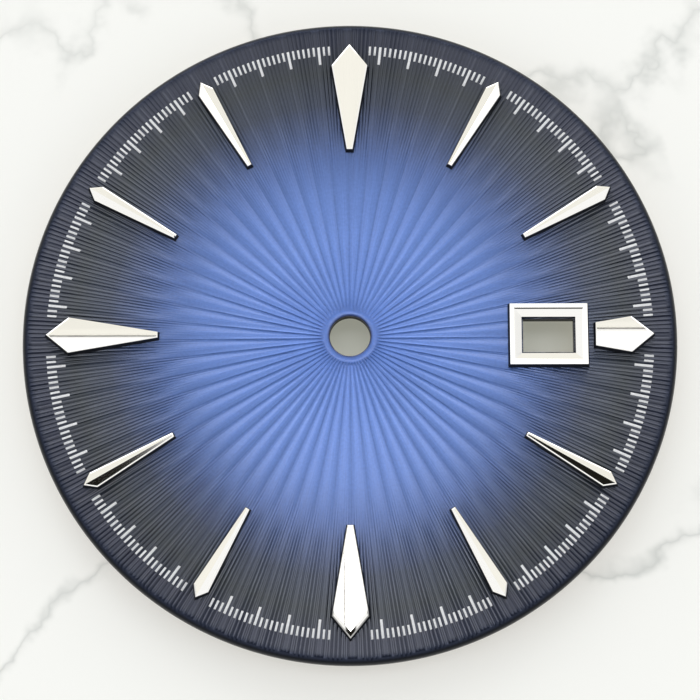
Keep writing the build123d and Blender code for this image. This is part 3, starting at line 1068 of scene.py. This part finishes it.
@dataclass
class HourMarker:
    """Applied marker: a kite with a cut top, a bright bevel all round and steep sides."""

    hour: int
    form: MarkerForm
    tip_radius: float
    base: float                       # height of the flutes' crests
    length: float
    tip_length: float
    shoulder_width: float
    inner_width: float
    height: float = 0.36
    band: float = 0.05                # width of the bevel
    bevel: float = 28.0               # degrees from the dial
    facet: float = 13.0               # degrees from the dial, of a narrow marker's two facets
    crown_radius: float = 6.5         # of a wide marker's top
    hip: float = 0.13                 # width of the cut just inside the tip's bevel
    hip_angle: float = 0.0            # degrees by which that cut is steeper than the top
    inset: float = 0.03               # of the polished top from the outline
    draft: float = 0.05               # how far the foot of the sides stands out
    sunk: float = 0.09                # how far the foot reaches into the flutes
    soft: float = 0.008               # rounding of the cut edges
    lean: float = 0.0                 # degrees that the top leans clockwise
    soft_share: float = 0.04          # of the side's height that its rounded upper edge takes
    end_steps: int = 16
    side_steps: int = 40
    tip_steps: int = 16
    sharp_angle: float = 14.0

    @staticmethod
    def inwards(corners: np.ndarray) -> np.ndarray:
        """Find the way in from each edge: its unit direction, turned left.

        Args:
            corners: Corners of the outline, anticlockwise.

        Returns:
            One unit vector for the edge that starts at each corner.
        """
        along = np.roll(corners, -1, axis=0) - corners
        along /= np.linalg.norm(along, axis=1, keepdims=True)
        return np.stack([-along[:, 1], along[:, 0]], axis=1)

    def corners(self, side: float, tip: float, end: float) -> np.ndarray:
        """Corners of the outline moved inwards, edge by edge.

        Each corner is where two moved edges cross, from the two edges' line
        equations.

        Args:
            side: How far the two long edges move in.
            tip: How far the two tip edges move in.
            end: How far the inner end moves in.

        Returns:
            Five corners, anticlockwise from the inner left one.
        """
        low, shoulder = self.tip_radius - self.length, self.tip_radius - self.tip_length
        half, inner = self.shoulder_width / 2, self.inner_width / 2
        plain = np.array([
            [-inner, low], [inner, low], [half, shoulder], [0, self.tip_radius], [-half, shoulder]
        ])
        inwards = self.inwards(plain)
        reach = (inwards * plain).sum(axis=1) + np.array([end, side, tip, tip, side])
        lines = np.stack([np.roll(inwards, 1, axis=0), inwards], axis=1)
        return np.linalg.solve(lines, np.stack([np.roll(reach, 1), reach], axis=1)[..., None])[..., 0]

    def outline(self, side: float, tip: float, end: float) -> np.ndarray:
        """Points round the moved outline, from the inner left corner.

        Args:
            side: How far the two long edges move in.
            tip: How far the two tip edges move in.
            end: How far the inner end moves in.

        Returns:
            One row of x and y for each point, anticlockwise.
        """
        corners = self.corners(side, tip, end)
        counts = [self.end_steps, self.side_steps, self.tip_steps, self.tip_steps, self.side_steps]
        parts = []
        for number, count in enumerate(counts):
            share = np.arange(count)[:, None] / count
            start, stop = corners[number], corners[(number + 1) % len(corners)]
            parts.append(start + (stop - start) * share)
        return np.vstack(parts)

    def edge_distance(self, points: np.ndarray) -> tuple[np.ndarray, np.ndarray]:
        """Distance inwards from the outline's edges.

        Args:
            points: Array whose last axis is x, y.

        Returns:
            Distances from the nearest edge, and from the nearest tip edge.
        """
        corners = self.corners(0, 0, 0)
        distance = ((points[..., None, :] - corners) * self.inwards(corners)).sum(axis=-1)
        return distance.min(axis=-1), distance[..., 2:4].min(axis=-1)

    def top_height(self, points: np.ndarray) -> np.ndarray:
        """Height of the cut top over the crests.

        A narrow marker's facets fall straight from the ridge, a wide one's crown
        falls with the square of the distance from the middle. The bevel and the
        hip fall away from it towards the outline, and the whole top may lean.

        Args:
            points: Array whose last axis is x, y.

        Returns:
            Heights in millimetres.
        """
        x = np.abs(points[..., 0])
        if self.form is MarkerForm.NARROW:
            fall = x * math.tan(math.radians(self.facet))
        else:
            fall = x * x / (2 * self.crown_radius)
        nearest, from_tip = self.edge_distance(points)
        in_bevel = np.clip(self.band - (nearest - self.inset), 0, None)
        in_hip = np.clip(self.band + self.hip - (from_tip - self.inset), 0, None)
        bevel = math.tan(math.radians(self.bevel)) * in_bevel
        hip = math.tan(math.radians(self.hip_angle)) * in_hip
        lean = math.tan(math.radians(self.lean)) * points[..., 0]
        return self.height - fall - bevel - hip - lean

    def rings(self) -> list[np.ndarray]:
        """Rings of points from the foot of the sides up over the bevel's two edges.

        Rings close to both edges make them soft. The last ring lies three
        roundings inside the bevel, and at the tip where the hip ends.

        Returns:
            The rings, each with one row of x, y and z for each point.
        """
        soft, band = self.soft, self.band
        lifted = []
        for step in (0, soft, band - soft, band, band + soft):
            flat = self.outline(*[self.inset + step] * 3)
            lifted.append(np.column_stack([flat, self.top_height(flat)]))
        side = self.inset + band + soft * 3
        hip = self.outline(side, self.inset + band + self.hip, side)
        lifted.append(np.column_stack([hip, self.top_height(hip)]))
        edge = lifted[0]
        foot = self.outline(-self.draft, -self.draft, -self.draft)
        foot = np.column_stack([foot, 0 * foot[:, 0] - self.sunk])
        below = edge + (foot - edge) * self.soft_share
        return [foot, below, *lifted]

    def surface(self) -> Surface:
        """Rings round the outline, closed below and capped by a grid across the top.

        Returns:
            The closed mesh, turned to the marker's hour.
        """
        rings = np.stack(self.rings())
        count = rings.shape[1]
        closed = ring_numbers(rings.shape[0], count)
        index, rim = closed[:, :-1], closed[-1, :-1]
        rows = self.side_steps + self.tip_steps
        left, right = rim[-np.arange(rows + 1)], rim[self.end_steps + np.arange(rows + 1)]
        cap = np.zeros((rows + 1, self.end_steps + 1), int)
        cap[0] = rim[:self.end_steps + 1]
        inside = np.arange((rows - 1) * (self.end_steps - 1)).reshape(rows - 1, -1)
        cap[1:-1, 1:-1] = index.size + inside
        cap[:, 0], cap[:, -1] = left, right
        cap[-1] = right[-1]
        share = (np.arange(1, self.end_steps) / self.end_steps)[None, :, None]
        points = rings[-1][:, :2]
        left_points = points[-np.arange(1, rows)][:, None]
        right_points = points[self.end_steps + np.arange(1, rows)][:, None]
        inner = left_points + (right_points - left_points) * share
        inner = np.concatenate([inner, self.top_height(inner)[..., None]], axis=-1).reshape(-1, 3)
        tip = np.stack([cap[-2, :-1], cap[-2, 1:], cap[-1, 1:]], axis=1)
        vertices = np.vstack([rings.reshape(-1, 3), inner]) + [0, 0, self.base]
        quads = np.vstack([grid_quads(closed), grid_quads(cap[:-1])])
        faces = quads.tolist() + tip.tolist() + [index[0, ::-1].tolist()]
        # Material 1, on the sides and the underside, is the flank finish with painted shade.
        dull = np.zeros(len(faces))            # the polish, but for the sides and the underside
        dull[:count] = 1
        dull[-1] = 1
        return Surface(turned(vertices, self.hour * HOUR_ANGLE), faces, dull)

    def build(self) -> None:
        """Make the marker at its hour."""
        node = f"hour_marker_{self.hour or HOURS:02d}"
        piece = self.surface().make(f"{node}_polished", APPLIED_FINISHES, self.sharp_angle)
        seat(piece, Slot.MARKERS, node)


@dataclass
class MarkerSet:
    """The twelve hour markers, each form with its own sizes."""

    tip_radius: float
    base: float
    leans: dict[int, float] = field(default_factory=lambda: {3: 0.4, 9: 2.0})    # degrees, by hour
    hips: dict[int, float] = field(default_factory=lambda: {6: 20.0})            # degrees, by hour

    def form(self, hour: int) -> MarkerForm:
        """Find the form of the marker at an hour.

        Args:
            hour: Hour, with 0 for twelve.

        Returns:
            Its form.
        """
        if hour == 3:
            return MarkerForm.SHORT
        return MarkerForm.WIDE if hour % 3 == 0 else MarkerForm.NARROW

    def sizes(self, form: MarkerForm) -> dict:
        """Give the outline of a form.

        Args:
            form: Form of a marker.

        Returns:
            Its length, tip length, shoulder width and inner width, by field.
        """
        if form is MarkerForm.NARROW:
            return dict(length=4.45, tip_length=0.50, shoulder_width=0.767, inner_width=0.24)
        if form is MarkerForm.SHORT:
            return dict(length=2.59, tip_length=1.00, shoulder_width=1.634, inner_width=1.066)
        return dict(length=4.90, tip_length=1.00, shoulder_width=1.634, inner_width=0.30)

    def build(self) -> None:
        """Make all twelve markers."""
        for hour in range(HOURS):
            form = self.form(hour)
            HourMarker(
                hour, form, self.tip_radius, self.base, **self.sizes(form),
                lean=self.leans.get(hour, 0.0), hip_angle=self.hips.get(hour, 0.0)
            ).build()


@dataclass
class DateFrame:
    """Polished frame: a flat band, a small step, and four mitred slopes to the opening."""

    centre: float
    length: float
    width: float
    base: float
    opening_length: float = 2.34
    opening_width: float = 1.61
    band: float = 0.18
    height: float = 0.35
    step: float = 0.016
    groove: float = 0.05              # width of the shallow fall from the band to the slopes
    lip: float = 0.12                 # height over the crests at which the slopes end
    draft: float = 0.08
    sunk: float = 0.09
    soft: float = 0.01
    steps_per_side: int = 12
    sharp_angle: float = 11.0

    def profile(self) -> np.ndarray:
        """Profile from the outside over the band and the slope down the opening.

        Points a fraction of the rounding beside each edge make it soft.

        Returns:
            Share of the way from the outside to the opening, and height, ring by ring.
        """
        reach = (self.length - self.opening_length) / 2
        soft, top, band = self.soft, self.height, self.band
        groove = band + self.groove
        slope_top = top - self.step
        places = [
            (-self.draft, -self.sunk), (0, top - soft * 2), (soft * 0.6, top - soft * 0.6),
            (soft * 1.8, top), (band - soft * 0.4, top), (band + soft * 0.4, top - soft * 0.2),
            (groove, slope_top), (groove + soft * 0.5, slope_top - soft * 0.3),
            (reach - soft, self.lip + soft * 0.6), (reach, self.lip), (reach, -self.sunk),
        ]
        return np.array(places) / [reach, 1]

    def surface(self) -> Surface:
        """The profile carried round the rectangle, mitred at its corners and closed below.

        Returns:
            The closed mesh.
        """
        share, height = self.profile().T
        turn = np.array([[-1, -1], [1, -1], [1, 1], [-1, 1]])
        step = np.arange(self.steps_per_side)[None, :, None] / self.steps_per_side
        start, stop = turn[:, None], np.roll(turn, -1, axis=0)[:, None]
        square = (start + (stop - start) * step).reshape(-1, 2)
        outer = np.array([self.length, self.width]) / 2
        inner = np.array([self.opening_length, self.opening_width]) / 2
        half = outer + (inner - outer) * share[:, None]
        flat = square[None] * half[:, None]
        tall = np.broadcast_to(height[:, None, None], (*flat.shape[:2], 1))
        points = np.concatenate([flat, tall], axis=-1) + [self.centre, 0, self.base]
        index = ring_numbers(*points.shape[:2])
        quads = grid_quads(np.vstack([index, index[:1]]))
        # Material 1, on the sides and the underside, is the flank finish with painted shade.
        dull = np.zeros(len(share))            # the polish, but for the sides and the underside
        dull[[0, -2, -1]] = 1
        return Surface(points.reshape(-1, 3), quads.tolist(), np.repeat(dull, len(square)))

    def build(self) -> None:
        """Make the frame."""
        piece = self.surface().make("date_frame_polished", APPLIED_FINISHES, self.sharp_angle)
        seat(piece, Slot.FRAME, "date_frame")


@dataclass
class CementDabs:
    """Drops of cement over the pins' ends, no two alike."""

    places: np.ndarray
    radius: float = 0.40
    height: float = 0.12
    unevenness: float = 0.08
    slow_wave: float = 0.5            # share of the unevenness that goes twice round a drop
    quick_wave: float = 0.35          # share that goes three times round
    rings: int = 7
    columns: int = 24
    seed: int = 7
    sharp_angle: float = 50.0

    def surface(self) -> Surface:
        """Half a flattened ball for each place.

        The radius swells by two waves round the drop, with phases that differ
        from drop to drop.

        Returns:
            The closed mesh of all the drops.
        """
        random = np.random.default_rng(self.seed)
        count = len(self.places)
        phase = random.uniform(0, 2 * np.pi, (count, 1, 1, 2))
        size = random.uniform(1 - self.unevenness, 1 + self.unevenness / 2, (count, 1, 1))
        fall = np.radians(np.linspace(0, 90, self.rings + 1)[1:])[None, :, None]
        turn = np.arange(self.columns)[None, None, :] * 2 * np.pi / self.columns
        slow = self.slow_wave * np.cos(2 * turn + phase[..., 0])
        quick = self.quick_wave * np.cos(3 * turn + phase[..., 1])
        wave = 1 + self.unevenness * (slow + quick)
        reach = self.radius * size * np.sin(fall) * wave
        depth = -self.height * size * np.cos(fall) + 0 * turn
        x, y = reach * np.cos(turn), reach * np.sin(turn)
        shell = np.stack([x, y, depth], axis=-1).reshape(count, -1, 3)
        pole = np.zeros((count, 1, 3))
        pole[..., 2] = -self.height * size[:, 0]
        points = np.concatenate([shell, pole], axis=1)
        points[..., :2] += self.places[:, None]
        index = ring_numbers(self.rings, self.columns)
        quads = grid_quads(index)[:, ::-1]
        tip = np.full(self.columns, self.rings * self.columns)
        cap = np.stack([index[0, 1:], index[0, :-1], tip], axis=1)
        faces = []
        for number in range(count):
            offset = number * points.shape[1]
            faces += (quads + offset).tolist() + (cap + offset).tolist()
            faces.append((index[-1, :-1] + offset).tolist())
        return Surface(points.reshape(-1, 3), faces)

    def build(self) -> None:
        """Make all the drops."""
        cement = AmberCement("amber_cement")
        piece = self.surface().make("pin_cement_drops", [cement], self.sharp_angle)
        seat(piece, Slot.CEMENT, "pin_cement")


@dataclass
class DialFeet:
    """Copper feet, each with the flare of its weld and a softened end."""

    foot_radius: float = 0.375
    base_radius: float = 0.55
    base_height: float = 0.10
    end_chamfer: float = 0.06
    end_bend: float = 0.3             # share of the chamfer at which it bends
    inner_ring: float = 0.5           # share of the radius at which the end face has a ring
    flare_turns: tuple[float, ...] = (0, 18, 36, 54, 72, 90)
    columns: int = 48
    sharp_angle: float = 40.0

    def profile(self, length: float) -> np.ndarray:
        """Profile from the back face down over the flare to the end face.

        Args:
            length: Length of the foot.

        Returns:
            Radius and height, ring by ring.
        """
        turn = np.radians(self.flare_turns)
        foot, end, chamfer = self.foot_radius, -length, self.end_chamfer
        bend = chamfer * self.end_bend
        flare_radii = self.base_radius - (self.base_radius - foot) * np.sin(turn)
        flare_heights = -self.base_height * (1 - np.cos(turn))
        radii = [*flare_radii, foot, foot, foot - bend, foot - chamfer, foot * self.inner_ring]
        heights = [*flare_heights, (end - self.base_height) / 2, end + chamfer, end + bend, end, end]
        return np.column_stack([radii, heights])

    def surface(self, x: float, y: float, length: float) -> Surface:
        """The profile turned round the foot's axis, closed at both ends.

        Args:
            x: Place of the axis towards three o'clock.
            y: Place of the axis towards twelve o'clock.
            length: Length of the foot.

        Returns:
            The closed mesh.
        """
        radius, height = self.profile(length).T
        turn = np.arange(self.columns) * 2 * np.pi / self.columns
        points = np.stack([
            x + radius[:, None] * np.cos(turn), y + radius[:, None] * np.sin(turn),
            height[:, None] + 0 * turn,
        ], axis=-1)
        index = ring_numbers(len(radius), self.columns)
        quads = grid_quads(index)[:, ::-1]
        ends = [index[0, :-1].tolist(), index[-1, -2::-1].tolist()]
        return Surface(points.reshape(-1, 3), quads.tolist() + ends)

    def build(self) -> None:
        """Make a foot where the frame has one."""
        copper = DrawnCopper("drawn_copper")
        for node in sorted(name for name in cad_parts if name.startswith("dial_foot")):
            low, high = node_box(node)
            x, y = (low + high)[:2] / 2
            foot = self.surface(x, y, -low[2]).make(f"{node}_turned", [copper], self.sharp_angle)
            seat(foot, Slot.FEET, node)


@dataclass(frozen=True)
class Panel:
    """A soft-edged rectangle of the studio's dome, lighter or darker than the rest.

    East and north are the direction's own components towards three and twelve
    o'clock, from 0 at the zenith to 1 at the horizon.
    """

    east: float
    north: float
    half_length: float
    half_width: float
    turn: float                       # degrees that its length is turned from east to north
    edge: float                       # width over which it fades
    level: float
    colour: str = "FFFFFF"


@dataclass
class Studio:
    """Soft light from a dome with panels, a pale slab and the camera."""

    floor_height: float
    dial_radius: float
    camera_place: tuple[float, float, float] = (0.017, -24.458, 112.20)
    camera_tilt: float = 12.0426      # degrees back from straight down
    camera_roll: tuple[float, float] = (0.0092, -0.1234)      # degrees about Y and Z
    lens: float = 135.54
    sensor: float = 36.0
    dome_level: float = 1.0
    horizon_level: float = 0.25
    horizon_rise: float = 0.40        # upward component at which the dome is at its full level
    lamp_place: tuple[float, float, float] = (-60.0, 260.0, 330.0)
    lamp_size: float = 200.0
    lamp_power: float = 0.12
    floor_size: float = 400.0
    panels: tuple[Panel, ...] = (
        Panel(0.00, 0.66, 1.20, 0.38, 0.0, 0.04, 0.97, "FFFDF5"),
        Panel(0.00, 0.09, 0.45, 0.10, 0.0, 0.05, 2.00),
        Panel(0.00, 0.09, 0.16, 0.05, 0.0, 0.04, 3.80),
        Panel(0.00, 0.50, 0.60, 0.12, 0.0, 0.05, 0.91, "FFFDF5"),
        Panel(-0.04, 0.84, 0.60, 0.13, 4.0, 0.04, 2.00),
        Panel(0.00, 0.64, 0.04, 0.07, 0.0, 0.04, 3.20),
        Panel(0.08, 0.985, 0.12, 0.045, 0.0, 0.03, 0.95, "FFFDF5"),
        Panel(0.60, 0.36, 0.09, 0.09, 0.0, 0.04, 0.05),
        Panel(-0.60, 0.36, 0.09, 0.09, 0.0, 0.04, 0.05),
        Panel(0.52, -0.11, 0.10, 0.10, 0.0, 0.03, 0.05),
        Panel(-0.52, -0.11, 0.10, 0.10, 0.0, 0.03, 0.05),
        Panel(-0.105, 0.261, 0.035, 0.005, 0.0, 0.006, 0.15, "8C8474"),
        Panel(0.098, 0.271, 0.035, 0.005, 0.0, 0.006, 0.15, "8C8474"),
        Panel(-0.080, 0.110, 0.008, 0.026, 0.0, 0.006, 0.40, "8C8474"),
        Panel(0.198, 0.104, 0.025, 0.003, -20.0, 0.003, 0.35, "C8A070"),
        Panel(0.00, -0.14, 0.235, 0.08, 0.0, 0.02, 0.30, "C8C0B0"),
        Panel(0.00, -0.34, 0.55, 0.165, -3.0, 0.02, 0.02, "C8C0B0"),
        Panel(0.168, -0.205, 0.012, 0.020, 0.0, 0.006, 1.00),
    )

    def cover(self, tree: Tree, colour: Socket, direction: Socket, panel: Panel) -> Socket:
        """Lay a panel over the dome.

        Args:
            tree: The world's node tree.
            colour: Socket of the dome's colour so far.
            direction: Socket of the direction in which it is seen.
            panel: The panel.

        Returns:
            Socket of the colour with the panel over it.
        """
        moved = add_node(tree, "ShaderNodeMapping", {
            "Vector": direction, "Location": (panel.east, panel.north, 0.0),
            "Rotation": (0.0, 0.0, math.radians(panel.turn)),
        }, vector_type="TEXTURE").outputs[0]
        parts = add_node(tree, "ShaderNodeSeparateXYZ", {0: moved}).outputs
        inside = 1.0
        for part, half in zip(parts, (panel.half_length, panel.half_width)):
            away = add_node(tree, "ShaderNodeMath", {0: part}, operation="ABSOLUTE").outputs[0]
            share = add_node(tree, "ShaderNodeMapRange", {
                "Value": away, "From Min": half, "From Max": half + panel.edge,
                "To Min": 1.0, "To Max": 0.0,
            }, interpolation_type="SMOOTHSTEP").outputs[0]
            inside = add_node(
                tree, "ShaderNodeMath", {0: share, 1: inside}, operation="MULTIPLY"
            ).outputs[0]
        shade = np.array(linear_colour(panel.colour)[:3]) * panel.level
        return add_node(tree, "ShaderNodeMix", {
            0: inside, 6: colour, 7: (*shade.tolist(), 1.0)
        }, data_type="RGBA").outputs[2]

    def dome(self) -> None:
        """White dome with the panels that the polished pieces reflect."""
        world = bpy.data.worlds.new("studio_dome")
        bpy.context.scene.world = world
        world.use_nodes = True
        tree = world.node_tree
        tree.nodes.clear()
        direction = add_node(tree, "ShaderNodeTexCoord").outputs["Generated"]
        up = add_node(tree, "ShaderNodeSeparateXYZ", {0: direction}).outputs[2]
        colour = add_node(tree, "ShaderNodeMapRange", {
            "Value": up, "From Min": 0.0, "From Max": self.horizon_rise,
            "To Min": self.horizon_level, "To Max": 1.0,
        }, interpolation_type="SMOOTHSTEP").outputs[0]
        for panel in self.panels:
            colour = self.cover(tree, colour, direction, panel)
        light = add_node(tree, "ShaderNodeBackground", {"Color": colour, "Strength": self.dome_level})
        add_node(tree, "ShaderNodeOutputWorld", {"Surface": light.outputs[0]})

    def lamp(self) -> None:
        """One large soft lamp on twelve o'clock's side, which metal doesn't mirror."""
        data = bpy.data.lights.new("soft_lamp", "AREA")
        data.size = self.lamp_size * MM
        data.energy = self.lamp_power
        lamp = bpy.data.objects.new("soft_lamp", data)
        bpy.context.scene.collection.objects.link(lamp)
        place = np.array(self.lamp_place)
        lamp.location = place * MM
        across = math.atan2(place[0], math.hypot(place[1], place[2]))
        lamp.rotation_euler = (-math.atan2(place[1], place[2]), across, 0)
        lamp.visible_glossy = False

    def floor(self) -> None:
        """Flat floor under the feet."""
        half = self.floor_size / 2
        corners = np.array([[-half, -half, 0], [half, -half, 0], [half, half, 0], [-half, half, 0]])
        plane = Surface(corners + [0, 0, self.floor_height], [[0, 1, 2, 3]])
        plane.make("floor", [MarbleSlab("marble_slab", self.dial_radius)])

    def camera(self) -> None:
        """Camera at the photograph's place, over the dial and a little towards six o'clock."""
        data = bpy.data.cameras.new("camera")
        data.lens = self.lens
        data.sensor_width = self.sensor
        data.clip_start = MM
        camera = bpy.data.objects.new("camera", data)
        bpy.context.scene.collection.objects.link(camera)
        camera.location = np.array(self.camera_place) * MM
        camera.rotation_mode = "ZYX"
        camera.rotation_euler = [math.radians(angle) for angle in (self.camera_tilt, *self.camera_roll)]
        bpy.context.scene.camera = camera

    def build(self) -> None:
        """Set up the light, the floor and the camera."""
        bpy.context.scene.view_settings.view_transform = "Standard"
        self.dome()
        self.lamp()
        self.floor()
        self.camera()


def pin_places(tip_radius: float, window_centre: float, frame_size: np.ndarray) -> np.ndarray:
    """Places of the pins' ends on the back, under each marker and the frame.

    Args:
        tip_radius: Radius of the markers' tips.
        window_centre: Distance of the date window from the dial's axis.
        frame_size: Length and width of the date frame.

    Returns:
        One row of x and y for each pin.
    """
    outer_share, inner_share, short_share = 0.20, 0.60, 0.72
    places = []
    markers = MarkerSet(tip_radius, 0.0)
    for hour in range(HOURS):
        form = markers.form(hour)
        length = markers.sizes(form)["length"]
        last = short_share if form is MarkerForm.SHORT else inner_share
        for share in (outer_share, last):
            point = np.array([0.0, tip_radius - length * share, 0.0])
            places.append(turned(point, hour * HOUR_ANGLE)[:2])
    opening = np.array([DateFrame.opening_length, DateFrame.opening_width])
    rim = (frame_size + opening) / 4           # half-way from the opening's corner to the frame's
    for side in (1, -1):
        places.append(np.array([window_centre, 0.0]) + rim * side)
    return np.array(places)


def main() -> None:
    """Build every sub-assembly in order."""
    logging.basicConfig(level=logging.INFO)
    plate_low, plate_high = node_box("dial_plate")
    frame_low, frame_high = node_box("date_frame")
    tip_radius = node_box("hour_marker_12")[1][1]
    window_centre = (frame_low + frame_high)[0] / 2
    frame_size = (frame_high - frame_low)[:2]

    plate = DialPlate(radius=plate_high[1])
    plate.build(window_centre)
    MinuteScale(plate, tip_radius).build()
    MarkerSet(tip_radius, plate.crest).build()
    DateFrame(window_centre, frame_size[0], frame_size[1], plate.crest).build()
    CementDabs(pin_places(tip_radius, window_centre, frame_size)).build()
    DialFeet().build()
    Studio(CAD_BOX[0][2] / MM, plate.radius).build()


if __name__ == "__main__":
    main()
